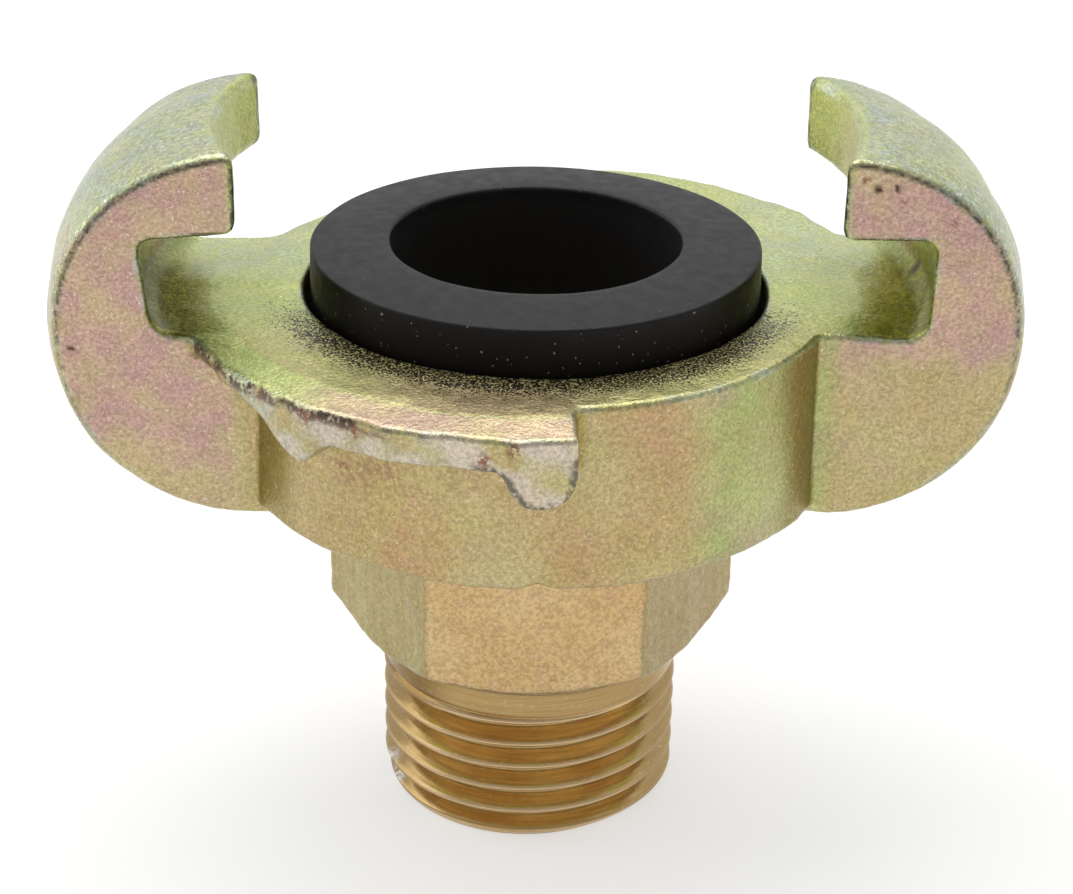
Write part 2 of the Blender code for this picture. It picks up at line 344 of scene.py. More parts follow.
def grid_values(field, low, counts):
    """The field at grid points near the surface; far from it only its sign is right."""
    axes = [low[k] + CELL * np.arange(counts[k]) for k in range(3)]
    coarse_axes = [axes[k][COARSE // 2::COARSE] for k in range(3)]
    coarse = field(*(a.ravel() for a in np.meshgrid(*coarse_axes, indexing="ij")))
    coarse = coarse.reshape([len(a) for a in coarse_axes])
    values = np.repeat(np.repeat(np.repeat(coarse, COARSE, 0), COARSE, 1), COARSE, 2)
    near = np.abs(values) < CELL * COARSE * 1.25
    index = np.nonzero(near)
    values[near] = field(axes[0][index[0]], axes[1][index[1]], axes[2][index[2]])
    return values


def surface_nets(field, low, high):
    """Quads on the zero surface of a field: one point per grid cell that the surface crosses."""
    counts = [int(math.ceil((high[k] - low[k]) / CELL / COARSE)) * COARSE for k in range(3)]
    values = grid_values(field, low, counts)
    inside = values < 0
    cells = np.array(counts)
    stride = np.array([counts[1] * counts[2], counts[2], 1])
    total = np.zeros((int(np.prod(cells)), 3), np.float32)
    hits = np.zeros(int(np.prod(cells)), np.int16)
    quads = []
    for axis in range(3):
        first = [slice(None)] * 3
        second = [slice(None)] * 3
        first[axis], second[axis] = slice(None, -1), slice(1, None)
        changes = inside[tuple(first)] != inside[tuple(second)]
        at = np.stack(np.nonzero(changes), 1)
        u, v = (axis + 1) % 3, (axis + 2) % 3
        at = at[(at[:, u] > 0) & (at[:, v] > 0)]
        after = at.copy()
        after[:, axis] += 1
        here, there = values[tuple(at.T)], values[tuple(after.T)]
        crossing = at.astype(np.float32)
        crossing[:, axis] += (here / (here - there)).astype(np.float32)
        corner = at @ stride
        around = [corner, corner - stride[u], corner - stride[u] - stride[v], corner - stride[v]]
        for cell in around:
            for k in range(3):
                total[:, k] += np.bincount(cell, crossing[:, k], minlength=len(total)).astype(np.float32)
            hits += np.bincount(cell, minlength=len(hits)).astype(np.int16)
        ring = np.stack(around, 1)
        flip = here > 0
        ring[flip] = ring[flip][:, ::-1]
        quads.append(ring)
    used = np.nonzero(hits)[0]
    number = np.full(len(hits), -1, np.int64)
    number[used] = np.arange(len(used))
    points = np.array(low) + CELL * (total[used] / hits[used][:, None]).astype(float)
    return points, number[np.concatenate(quads)]


def settle(field, points, rounds=3):
    """Move points onto the field's zero surface, and give the surface's normals there."""
    for _ in range(rounds):
        slope = gradient(field, points)
        size = np.maximum((slope ** 2).sum(1), 0.2)
        step = (field(*points.T) / size)[:, None] * slope
        points = points - np.clip(step, -CELL / 2, CELL / 2)
    slope = gradient(field, points)
    return points, slope / np.maximum(np.linalg.norm(slope, axis=1), 1e-9)[:, None]


# ---------------------------------------------------------------------------------- meshes

def make_piece(name, points, faces, normals=None):
    """A smooth mesh from points in millimetres."""
    mesh = bpy.data.meshes.new(name)
    mesh.from_pydata((points * MM).tolist(), [], faces.tolist())
    mesh.shade_smooth()
    if normals is not None:
        mesh.normals_split_custom_set_from_vertices(normals.tolist())
    piece = bpy.data.objects.new(name, mesh)
    bpy.context.scene.collection.objects.link(piece)
    return piece


def add_mask(piece, name, values):
    """Store one number per point for a material to read."""
    mask = piece.data.attributes.new(name, "FLOAT", "POINT")
    mask.data.foreach_set("value", values.astype(np.float32))


def grid_faces(rows, columns, closed_rows=False):
    """Quads of a tube whose rows are rings of points."""
    last = rows if closed_rows else rows - 1
    row = np.repeat(np.arange(last), columns)
    column = np.tile(np.arange(columns), last)
    beside = (column + 1) % columns
    above = (row + 1) % rows
    return np.stack([row * columns + column, row * columns + beside,
                     above * columns + beside, above * columns + column], 1)


def cut_lower(a, b):
    """The smaller of two radii, with a slightly rounded change between them."""
    return -np.logaddexp(-a * 12, -b * 12) / 12


def thread_radius(angle, z):
    """Outside radius of the spigot: rounded Whitworth thread, lead-in at its end, run-out under the neck."""
    phase = 2 * math.pi * (z / THREAD_PITCH - THREAD_PHASE) - angle
    profile = np.arcsin(THREAD_ROUNDING * np.cos(phase)) / math.asin(THREAD_ROUNDING)
    depth = THREAD_DEPTH * (0.5 - 0.5 * profile)
    fade = smooth_step((THREAD_TOP - z) / THREAD_RUNOUT)
    groove = NECK_GROOVE_DEPTH * np.exp(-((z - THREAD_TOP + 0.45) / 0.14) ** 2)
    radius = THREAD_MAJOR_R - 0.02 - depth * fade - groove
    lead = THREAD_END_R + z * (THREAD_MAJOR_R - THREAD_END_R) / THREAD_LEADIN
    return cut_lower(radius, lead)


def spigot():
    """The threaded spigot: end face, thread, neck and the flare under the hexagon, and the bore."""
    columns = 384
    angles = 2 * math.pi * np.arange(columns) / columns

    def ring_at(radius, z):
        return radius + np.zeros(columns), np.full(columns, z)

    foot = 0.12
    start = thread_radius(angles, foot)
    flare_z = HEX_BOTTOM - FLARE_BELOW_HEX
    heights = np.concatenate([np.linspace(foot, THREAD_TOP, 150), np.linspace(THREAD_TOP, flare_z, 8)[1:]])
    # Down the bore, from a flare hidden in the casting, then out over the chamfered end face
    rings = [ring_at(BORE_R + 0.4, HEX_BOTTOM + SPIGOT_OVERLAP), ring_at(BORE_R, HEX_BOTTOM + 0.02),
             ring_at(BORE_R, 0.5), ring_at(BORE_R + 0.15, 0.1), ring_at(BORE_R + 0.45, 0.0),
             ring_at(BORE_R + 1.2, 0.0), ring_at(start - 0.5, 0.0), ring_at(start - 0.12, 0.0),
             ring_at(start - 0.03, 0.04)]
    rings += [ring_at(thread_radius(angles, z), z) for z in heights]
    neck = rings[-1][0]
    for turn in np.radians(np.linspace(10, 90, 8)):
        rings.append(ring_at(neck + FLARE_R * (1 - math.cos(turn)), flare_z + FLARE_R * math.sin(turn)))
    rings.append(ring_at(neck + FLARE_R, HEX_BOTTOM + SPIGOT_OVERLAP))
    radii = np.array([ring[0] for ring in rings])
    zs = np.array([ring[1] for ring in rings])
    points = np.stack([radii * np.cos(angles), radii * np.sin(angles), zs], 2).reshape(-1, 3)
    return points, grid_faces(len(rings), columns, closed_rows=True)


def seal_profile():
    """Section of the rubber ring, from the inner foot round the outside to the inner top edge."""
    outer_top = RING_TOP - RING_CROWN
    neck_top = RING_BOTTOM + RING_NECK_HIGH
    edge, inner_edge = RING_EDGE, RING_INNER_EDGE
    shape = [(RING_INNER_R, RING_BOTTOM), (RING_FOOT_R - 0.3, RING_BOTTOM),
             (RING_FOOT_R, RING_BOTTOM + 0.3), (RING_FOOT_R, RING_BOTTOM + RING_FOOT_HEIGHT),
             (RING_OUTER_R + 0.25, RING_BOTTOM + RING_NECK_LOW), (RING_OUTER_R, neck_top)]
    for k in range(1, 8):
        t = k / 8
        height = neck_top + (outer_top - edge - neck_top) * t
        shape.append((RING_OUTER_R + 0.03 * math.sin(t * math.pi), height))
    for k in range(9):
        a = math.radians(90 * k / 8)
        shape.append((RING_OUTER_R - edge + edge * math.cos(a), outer_top - edge + edge * math.sin(a)))
    for k in range(1, 12):
        t = k / 12
        shape.append((RING_OUTER_R - edge + (RING_INNER_R + inner_edge - RING_OUTER_R + edge) * t,
                      outer_top + (RING_TOP - outer_top) * (1 - (1 - t) ** 1.6)))
    for k in range(6):
        a = math.radians(90 + 90 * k / 5)
        shape.append((RING_INNER_R + inner_edge + inner_edge * math.cos(a),
                      RING_TOP - inner_edge + inner_edge * math.sin(a)))
    for k in range(1, 12):
        shape.append((RING_INNER_R, RING_TOP - inner_edge - (RING_TOP - inner_edge - RING_BOTTOM) * k / 12))
    return np.array(shape)


def seal():
    """The rubber ring, slightly out of round as moulded rubber is."""
    profile = seal_profile()
    columns = 256
    angles = 2 * math.pi * np.arange(columns) / columns
    radii = profile[:, :1] + 0.02 * np.sin(angles * 5 + 1.0) + 0.012 * np.sin(angles * 13)
    zs = np.repeat(profile[:, 1:], columns, 1)
    points = np.stack([radii * np.cos(angles), radii * np.sin(angles), zs], 2).reshape(-1, 3)
    return points, grid_faces(len(profile), columns, closed_rows=True)


# ---------------------------------------------------------------------------------- materials

class Shading:
    """A short way to write a node material."""

    def __init__(self, name):
        self.material = bpy.data.materials.new(name)
        self.material.use_nodes = True
        self.nodes = self.material.node_tree.nodes
        self.links = self.material.node_tree.links
        self.surface = self.nodes["Principled BSDF"]
        self.place = self.nodes.new("ShaderNodeTexCoord").outputs["Object"]

    def feed(self, socket, value):
        if isinstance(value, bpy.types.NodeSocket):
            self.links.new(value, socket)
        elif isinstance(value, tuple):
            socket.default_value = (*value, 1.0)
        else:
            socket.default_value = value

    def mask(self, name):
        node = self.nodes.new("ShaderNodeAttribute")
        node.attribute_name = name
        return node.outputs["Fac"]

    def noise(self, per_mm, detail=2.0, roughness=0.5):
        """Noise with that many grains per millimetre, from 0 to 1."""
        node = self.nodes.new("ShaderNodeTexNoise")
        self.links.new(self.place, node.inputs["Vector"])
        node.inputs["Scale"].default_value = per_mm / MM
        node.inputs["Detail"].default_value = detail
        node.inputs["Roughness"].default_value = roughness
        return node.outputs["Fac"]

    def math(self, kind, a, b=0.0):
        node = self.nodes.new("ShaderNodeMath")
        node.operation = kind
        self.feed(node.inputs[0], a)
        self.feed(node.inputs[1], b)
        return node.outputs[0]

    def ramp(self, value, low, high, to_low=0.0, to_high=1.0):
        node = self.nodes.new("ShaderNodeMapRange")
        node.interpolation_type = "SMOOTHSTEP"
        self.feed(node.inputs["Value"], value)
        node.inputs["From Min"].default_value = low
        node.inputs["From Max"].default_value = high
        node.inputs["To Min"].default_value = to_low
        node.inputs["To Max"].default_value = to_high
        return node.outputs["Result"]

    def number_mix(self, share, a, b):
        node = self.nodes.new("ShaderNodeMix")
        self.feed(node.inputs["Factor"], share)
        self.feed(node.inputs["A"], a)
        self.feed(node.inputs["B"], b)
        return node.outputs["Result"]

    def mix(self, share, a, b, kind="MIX"):
        node = self.nodes.new("ShaderNodeMix")
        node.data_type = "RGBA"
        node.blend_type = kind
        self.feed(node.inputs["Factor"], share)
        self.feed(node.inputs["A"], a)
        self.feed(node.inputs["B"], b)
        return node.outputs["Result"]

    def bump(self, height, depth_mm, strength, below=None):
        node = self.nodes.new("ShaderNodeBump")
        node.inputs["Strength"].default_value = strength
        node.inputs["Distance"].default_value = depth_mm * MM
        self.links.new(height, node.inputs["Height"])
        if below is not None:
            self.links.new(below, node.inputs["Normal"])
        return node.outputs["Normal"]


def tone(red, green, blue):
    """An sRGB colour of 0 to 255 as the linear colour that shaders take."""
    out = []
    for value in (red, green, blue):
        value /= 255
        out.append(value / 12.92 if value <= 0.04045 else ((value + 0.055) / 1.055) ** 2.4)
    return tuple(out)


def chromate_material():
    """Cast iron with yellow chromate: gold, pink and green patches, grain, soot, stains, wear and rusted
    marks under the ledge's top edge, with painted light and shade, painted glints and painted edge
    highlights.
    """
    s = Shading("yellow_chromate_cast")
    drift = s.noise(0.16, 3.0, 0.55)
    patch = s.noise(0.30, 3.0, 0.6)
    blotch = s.noise(0.9, 3.0, 0.6)
    gold = s.mix(s.ramp(drift, 0.35, 0.65), tone(182, 152, 106), tone(187, 161, 117))
    gold = s.mix(s.ramp(blotch, 0.52, 0.68, 0.0, 0.5), gold, tone(184, 146, 118))
    pink = s.mix(s.ramp(patch, 0.35, 0.68), tone(188, 151, 143), tone(196, 170, 138))
    pink = s.mix(s.ramp(blotch, 0.54, 0.7, 0.0, 0.45), pink, tone(186, 168, 128))
    green = s.mix(s.ramp(patch, 0.3, 0.7), tone(178, 190, 116), tone(192, 198, 130))
    colour = s.mix(s.mask("gold"), s.mix(s.mask("pink"), green, pink), gold)
    colour = s.mix(s.mask("olive"), colour, tone(150, 152, 34))
    grey = s.mix(s.ramp(patch, 0.4, 0.62), tone(178, 188, 172), tone(190, 192, 152))
    grey = s.mix(s.ramp(blotch, 0.48, 0.62, 0.0, 0.7), grey, tone(184, 190, 128))
    # pale grey on the ledge's side, the claws' outer backs and the disc's wings, and a painted highlight
    # with some wear on convex edges
    colour = s.mix(s.mask("pale"), colour, grey)
    colour = s.mix(s.mask("rim"), colour, tone(206, 190, 174))
    # deeper olive-brown in fillets and hollows: a deeper tint with painted shade
    colour = s.mix(s.mask("tint_and_shade_in_hollows"), colour, tone(154, 136, 66))
    deep_grain = s.noise(2.6, 3.0, 0.7)
    grain = s.ramp(s.noise(4.0, 2.0, 0.7), 0.32, 0.68, 0.80, 1.18)
    rough_grain = s.ramp(deep_grain, 0.38, 0.62, 0.62, 1.3)
    coarse = s.math("MAXIMUM", s.mask("slot"), s.math("MULTIPLY", s.mask("outer"), 0.6))
    # painted light and shade of each region, times the cast grain
    painted_light = s.math("MULTIPLY", s.mask("painted_light"), s.number_mix(coarse, grain, rough_grain))
    shade = s.nodes.new("ShaderNodeCombineColor")
    for channel in shade.inputs:
        s.links.new(painted_light, channel)
    colour = s.mix(1.0, colour, shade.outputs["Color"], "MULTIPLY")
    # painted glints: bright specks for light caught by the cast grain
    glint_speck = s.ramp(s.noise(4.5, 2.0, 0.7), 0.60, 0.68)
    colour = s.mix(s.math("MULTIPLY", glint_speck, s.mask("painted_glints")), colour, tone(250, 244, 226))
    soot = s.math("ADD", s.noise(6.5, 1.0, 0.6), s.ramp(s.mask("grime"), 0.0, 1.0, -0.16, 0.08))
    sooty = s.math("MULTIPLY", s.ramp(soot, 0.49, 0.55), s.ramp(s.mask("grime"), 0.0, 0.15))
    colour = s.mix(sooty, colour, tone(38, 29, 12))
    # dark lines on the claws' edges, and painted shade on the lug's edges
    scratchy = s.ramp(s.noise(1.3, 4.0, 0.75), 0.40, 0.56, 0.1, 1.0)
    colour = s.mix(s.math("MULTIPLY", s.mask("edge_line_and_shade"), scratchy), colour, tone(92, 88, 74))
    # rusted band under the ledge's top edge, partly a painted dark reflection
    broken = s.ramp(s.noise(1.4, 3.0, 0.7), 0.40, 0.54)
    colour = s.mix(s.math("MULTIPLY", s.mask("rust_and_dark_reflection"), broken), colour, tone(96, 78, 68))
    flecks = s.ramp(s.noise(2.2, 3.0, 0.7), 0.44, 0.54)
    colour = s.mix(s.math("MULTIPLY", s.mask("stain"), flecks), colour, tone(142, 98, 80))
    colour = s.mix(s.mask("pit"), colour, tone(52, 38, 24))
    s.feed(s.surface.inputs["Base Color"], colour)
    s.feed(s.surface.inputs["Metallic"], s.ramp(s.mask("grime"), 0.0, 1.0, 0.85, 0.45))
    rough = s.ramp(s.noise(1.2, 3.0, 0.6), 0.3, 0.7, 0.26, 0.36)
    s.feed(s.surface.inputs["Roughness"], rough)
    fine = s.bump(s.noise(4.0, 3.0, 0.7), 0.06, 0.9)
    relief = s.bump(s.noise(1.9, 2.0, 0.6), 0.07, 0.5, below=fine)
    s.feed(s.surface.inputs["Normal"], s.bump(s.noise(0.9, 3.0, 0.6), 0.12, 0.4, below=relief))
    return s.material


def machined_material():
    """The same plating on turned metal: smoother, with turning lines, pale crests that are partly a painted
    highlight, painted shade on the thread's sides and neck, and painted glints.
    """
    s = Shading("yellow_chromate_machined")
    drift = s.noise(0.25, 3.0, 0.6)
    threads = s.mix(s.ramp(drift, 0.35, 0.65), tone(196, 164, 110), tone(206, 178, 124))
    colour = s.mix(s.mask("threaded"), tone(184, 156, 106), threads)
    stripe = s.nodes.new("ShaderNodeTexNoise")
    stretch = s.nodes.new("ShaderNodeMapping")
    stretch.inputs["Scale"].default_value = (0.02, 0.02, 1.0)
    s.links.new(s.place, stretch.inputs["Vector"])
    s.links.new(stretch.outputs["Vector"], stripe.inputs["Vector"])
    stripe.inputs["Scale"].default_value = 9.0 / MM
    stripe.inputs["Detail"].default_value = 2.0
    turning = stripe.outputs["Fac"]
    colour = s.mix(s.ramp(turning, 0.4, 0.65, 0.0, 0.35), colour, tone(150, 112, 60))
    # crests polished pale, partly a painted highlight
    colour = s.mix(s.math("MULTIPLY", s.mask("crest_polish_and_highlight"), 0.6), colour, tone(234, 204, 166))
    # painted shade on the thread's sides
    colour = s.mix(s.math("MULTIPLY", s.mask("side"), 0.85), colour, tone(146, 122, 80))
    colour = s.mix(s.mask("shadow"), colour, tone(112, 84, 36))
    worn = s.math("MULTIPLY", s.mask("worn"), s.ramp(s.noise(1.8, 3.0, 0.7), 0.42, 0.56))
    colour = s.mix(worn, colour, tone(198, 194, 190))
    # painted glints on the turned metal
    glint_speck = s.ramp(s.noise(3.0, 4.0, 0.75), 0.58, 0.7)
    colour = s.mix(s.math("MULTIPLY", glint_speck, 0.3), colour, tone(240, 226, 190))
    s.feed(s.surface.inputs["Base Color"], colour)
    s.surface.inputs["Metallic"].default_value = 0.95
    polish = s.ramp(s.noise(1.5, 3.0, 0.6), 0.3, 0.7, 0.15, 0.23)
    s.feed(s.surface.inputs["Roughness"], s.math("ADD", polish, s.math("MULTIPLY", s.mask("crest_polish_and_highlight"), 0.16)))
    lines = s.bump(turning, 0.02, 0.35)
    s.feed(s.surface.inputs["Normal"], s.bump(s.noise(2.5, 3.0, 0.6), 0.015, 0.3, below=lines))
    return s.material


def rubber_material():
    """Matt black rubber with a cloudy top face and dust on its side; its top face, outer side and hole get
    their own tones of painted light and shade.
    """
    s = Shading("black_nitrile_rubber")
    cloud = s.noise(0.3, 4.0, 0.6)
    face = s.mix(s.ramp(cloud, 0.35, 0.7), tone(18, 18, 19), tone(25, 25, 27))
    # painted light: the hole's wall lighter than the outer side
    side = s.mix(s.mask("hole"), tone(20, 17, 16), tone(34, 32, 33))
    colour = s.mix(s.mask("face"), side, face)
    dust = s.ramp(s.noise(3.2, 1.0, 0.5), 0.725, 0.76)
    dust = s.math("MULTIPLY", dust, s.mask("dusty"))
    colour = s.mix(dust, colour, tone(150, 146, 140))
    s.feed(s.surface.inputs["Base Color"], colour)
    s.surface.inputs["Specular IOR Level"].default_value = 0.22
    s.feed(s.surface.inputs["Roughness"], s.ramp(s.noise(0.9, 3.0, 0.6), 0.3, 0.7, 0.42, 0.52))
    s.feed(s.surface.inputs["Normal"], s.bump(s.noise(5.0, 3.0, 0.6), 0.015, 0.3))
    return s.material


# ---------------------------------------------------------------------------------- casting masks

# Marks on the casting and the thread: place and size
PITS = ((25.6, 2.3, 38.3, 0.9), (25.6, -1.4, 38.4, 0.6), (21.0, -8.7, 47.6, 0.4), (-29.7, -8.7, 36.6, 0.3),
        (22.2, -8.7, 47.7, 0.3), (2.6, -23.9, 35.4, 0.3), (-7.9, -22.6, 34.9, 0.35))
STAINS = ((-3.5, -23.7, 36.1, 0.7), (-1.7, -23.9, 36.9, 0.7), (-14.5, -19.6, 36.9, 1.0),
          (-17.4, -16.8, 37.1, 0.9), (-11.0, -21.0, 36.8, 0.8), (-12.2, -16.0, 31.8, 0.6),
          (20.2, -8.7, 48.3, 0.5), (22.8, -8.7, 46.9, 0.35), (25.9, -8.7, 45.4, 0.35),
          (-13.6, -15.0, 33.4, 0.6), (-19.6, -9.2, 36.3, 1.0))
WARM = ((-11.5, -16.4, 32.6, 3.2), (-8.6, -18.1, 33.2, 2.4), (-4.8, -19.5, 33.0, 2.0))
THREAD_WEAR = ((-9.9, -3.2, 1.3, 1.7),)

SOFT_SEED, FINE_SEED = 11, 12
DISC_R = 21.2


def spots(points, places):
    """Soft round spots at given places."""
    spot = np.zeros(len(points))
    for x, y, z, size in places:
        away = np.linalg.norm(points - (x, y, z), axis=1)
        spot = np.maximum(spot, smooth_step((size - away) / (0.6 * size)))
    return spot


def bending(points, step):
    """How much the smooth casting curves: positive on convex edges, negative in fillets."""
    total = -6 * casting_field(*points.T, skin=False)
    for axis in range(3):
        shift = np.zeros(3)
        shift[axis] = step
        total += casting_field(*(points + shift).T, skin=False)
        total += casting_field(*(points - shift).T, skin=False)
    return total / step ** 2


class Skin:
    """The points of the cast skin, and the zones that its masks share."""

    def __init__(self, points, normals):
        x, y, z = points.T
        rho = np.hypot(x, y)
        self.points, self.x, self.y, self.z, self.rho = points, x, y, z, rho
        self.rightward, self.backward, self.upward = normals.T
        self.outward = (self.rightward * x + self.backward * y) / np.maximum(rho, 1e-6)
        self.beside = np.abs(self.backward)
        self.sideways = smooth_step((self.beside - 0.6) / 0.3)
        self.along = degrees_from_claw(x, y)
        self.across_claw = np.maximum(CLAW_FRONT - y, y - CLAW_BACK)
        self.soft = waves(x, y, z, SOFT_SEED, 9.0, 9)
        self.fine = waves(x, y, z, FINE_SEED, 3.0, 9)
        self.bend = bending(points, 0.4)
        self.ledge = ledge_field(x, y, z, rho)

        on_face = (self.upward > 0.6) & (z < MATING_PLANE + 0.5)
        self.drum_and_claws = z > DRUM_BOTTOM - 0.6
        self.body_side = (z > DRUM_BOTTOM + 0.2) & (z < MATING_PLANE - 0.4)
        self.on_claw = smooth_step((rho - 20.3) / 1.5) * (self.across_claw < 0.4)
        self.within_claw = self.across_claw < 0.12
        self.disc = on_face & (rho < DISC_R)
        self.ledge_top = on_face * smooth_step((rho - 21.1) / 0.5)
        self.wing = on_face & (np.abs(x) > 13)
        self.inner = (z > MATING_PLANE - 0.5) & self.within_claw & (rho > TIP_R - 0.5)
        self.tip_face = (rho < TIP_R + 0.5) & (z > HOOK_UNDERSIDE)
        self.in_slot = (rho > TIP_R + 1) & (rho < SLOT_R_LEFT + 0.4) & (z < HOOK_UNDERSIDE + 0.2)
        self.in_slot = self.in_slot & ~(self.sideways > 0.5)
        self.deep = self.in_slot * smooth_step((rho - TIP_R + 0.5) / 4) * smooth_step((7 - y) / 8)
        self.ledge_side = (self.ledge < 0.25) & (self.upward < 0.75) & (rho > 21) & (self.across_claw > 0.9)
        back = smooth_step((self.outward + 0.35) / 0.5) * smooth_step((self.upward + 0.15) / 0.4)
        back = back * (rho > 21.3)
        behind_slot = np.maximum(z > HOOK_UNDERSIDE + 0.8, rho > SLOT_R_LEFT + 1.2)
        self.outer = back * behind_slot * (self.across_claw < 0.1) * (1 - self.sideways)


def tint_and_shade_in_hollows_mask(skin):
    """Fillets, the drum's side next to the claws and the ledge's end, where the colour is deeper and painted
    shade darkens it; at the ledge's end it is a painted shadow.
    """
    broad = bending(skin.points, 0.9)
    tint_and_shade_in_hollows = smooth_step((-broad - 0.25) / 0.45) * np.where(skin.z > MATING_PLANE - 0.6, 0.3, 0.7)
    tint_and_shade_in_hollows = tint_and_shade_in_hollows * ~skin.within_claw
    # painted shade on the drum beside the claws
    band = smooth_step((skin.across_claw - 0.05) / 0.3) * smooth_step((4.9 - skin.across_claw) / 2.4)
    band = band * (skin.rho < DRUM_R + 0.8) * (np.abs(skin.x) > 12) * skin.body_side
    # painted shadow beside the ledge's end
    end_face = smooth_step((98.0 - skin.along) / 1.5) * (skin.along > 95) * (skin.rho < 23.4)
    end_face = end_face * (skin.z > 33.6) * skin.body_side
    return np.maximum(tint_and_shade_in_hollows, np.maximum(band, 0.8 * end_face))


def pink_mask(skin):
    """Flat sides of the claws, the drum's front and the tops of the front ledge."""
    x, y, rho, along = skin.x, skin.y, skin.rho, skin.along
    high = smooth_step((skin.z - by_side(x, 27, 30) + 2.5 * skin.soft - 0.35 * (rho - 26)) / 10)
    base = by_side(x, 0.68, 0.34)
    pink = skin.sideways * skin.on_claw * np.clip(base + (1 - base) * high + 0.1 * skin.fine, 0, 1)
    round_pink = np.clip(0.2 + 0.3 * skin.soft + 0.1 * skin.fine, 0, 0.6) * smooth_step((x + 9) / 5)
    pink = np.maximum(pink, (1 - skin.on_claw) * (skin.upward < 0.5) * round_pink)
    ledge = skin.ledge_top * smooth_step((along - 44) / 16) * (along < 96) * (y < 0)
    disc = skin.disc * smooth_step((28 - np.abs(along - 80)) / 20) * smooth_step((rho - 15) / 3) * (y < 0)
    return np.maximum(np.maximum(pink, 0.8 * ledge), 0.55 * disc)


def gold_mask(skin, pink):
    """Outside of the drum and claws, the hexagon, and the disc in front of the ring."""
    x = skin.x
    greenish = smooth_step((np.abs(x) - 8.5) / 3.5) * (1 - skin.on_claw) * by_side(x, 0.3, 1.0)
    gold = np.clip(0.85 - 0.15 * skin.soft + 0.06 * skin.fine - 0.8 * greenish, 0, 1)
    gold = np.maximum(gold, 0.8 * smooth_step((-x - 4) / 5) * (1 - skin.on_claw)) * (1 - pink)
    outside = (skin.upward < 0.5) & (np.abs(skin.outward) + skin.sideways > 0.5) & (skin.z < HOOK_UNDERSIDE)
    on_hexagon = 1.0 - 0.15 * smooth_step((-skin.rightward - 0.5) / 0.3)
    gold = np.where(skin.drum_and_claws, gold * outside, on_hexagon)
    return np.maximum(gold, 0.4 * skin.disc * smooth_step((-skin.y - 4) / 8))


def olive_mask(skin):
    """Slots, tip faces and the hexagon's slanted flats; deep in the slots the olive also stands for painted
    shade.
    """
    olive = skin.inner * np.where(skin.tip_face, 0.55, np.minimum(1.5 * skin.deep, 1))
    slanted = smooth_step((np.abs(skin.rightward) - 0.5) / 0.3)
    return np.maximum(olive, 0.24 * (1 - skin.drum_and_claws) * slanted)


def painted_light_mask(skin):
    """Painted light and shade as a brightness factor on the skin, 1 where it is left alone: the hexagon's
    front flat lighter and its slanted flats darker, painted shade deep in the slots, in the slot floor's
    fillet and on the drum beside the claws, the disc a little darker, the tip faces lighter and the outer
    backs darker.
    """
    x = skin.x
    painted_light = np.ones(len(x))
    # painted light: the hexagon's front flat lighter, its slanted flats darker
    front = smooth_step((-skin.backward - 0.8) / 0.15)
    slanted = smooth_step((skin.beside - 0.3) / 0.2) * (skin.beside < 0.8)
    painted_light += (1 - skin.drum_and_claws) * (0.25 * front - 0.18 * slanted)
    # painted shade deep in the slots, in the slot floor's fillet and on the drum beside the claws
    painted_light -= by_side(x, 0.24, -0.06) * skin.inner * skin.deep
    near_claw = skin.body_side * (1 - skin.on_claw) * smooth_step((np.abs(x) - 8) / 4)
    painted_light -= by_side(x, 0.08, 0.17) * near_claw
    floor_fillet = skin.inner * skin.in_slot * smooth_step((-skin.bend - 0.3) / 0.5)
    painted_light -= by_side(x, 0.5, 0.42) * floor_fillet + 0.04 * skin.disc
    painted_light += by_side(x, 0.02, 0.12) * skin.tip_face * skin.inner
    return painted_light - 0.12 * skin.outer


def pale_and_highlight_mask(skin):
    """Convex edges, pale with a painted highlight and some wear, the outer backs of the claws, the far wings
    of the disc and the ledge's side.
    """
    x, y, z = skin.x, skin.y, skin.z
    # painted highlight along convex edges, with some wear
    edge = smooth_step((skin.bend - 0.7) / 1.2) * np.where(z > DRUM_BOTTOM + 1.5, 1.0, 0.12)
    pale = np.clip(0.7 * edge * (0.7 + 0.4 * skin.fine), 0, 0.8)
    pale = np.maximum(pale, np.clip(0.75 + 0.15 * skin.soft, 0.35, 0.95) * skin.outer)
    wing = skin.wing * smooth_step((y + 1) / 5) * smooth_step((np.abs(x) - 14) / 3)
    pale = np.maximum(pale, 0.45 * wing * smooth_step((25.5 - skin.rho) / 3))
    ledge = skin.ledge_side * smooth_step((skin.along - 28) / 10)
    return np.maximum(pale, np.clip(0.5 + 0.25 * skin.fine, 0, 0.85) * ledge)


def painted_glints_mask(skin):
    """How many painted glints show: bright specks that stand for light caught by the grains."""
    painted_glints = np.where(skin.drum_and_claws, 0.3, 0.12) + skin.on_claw * by_side(skin.x, 0.1, 0.0)
    painted_glints = painted_glints + 0.4 * skin.outer - 0.2 * skin.inner * skin.deep
    painted_glints += 0.5 * skin.outer * smooth_step((skin.across_claw + 1.6) / 1.4)
    return np.clip(painted_glints, 0, 1)


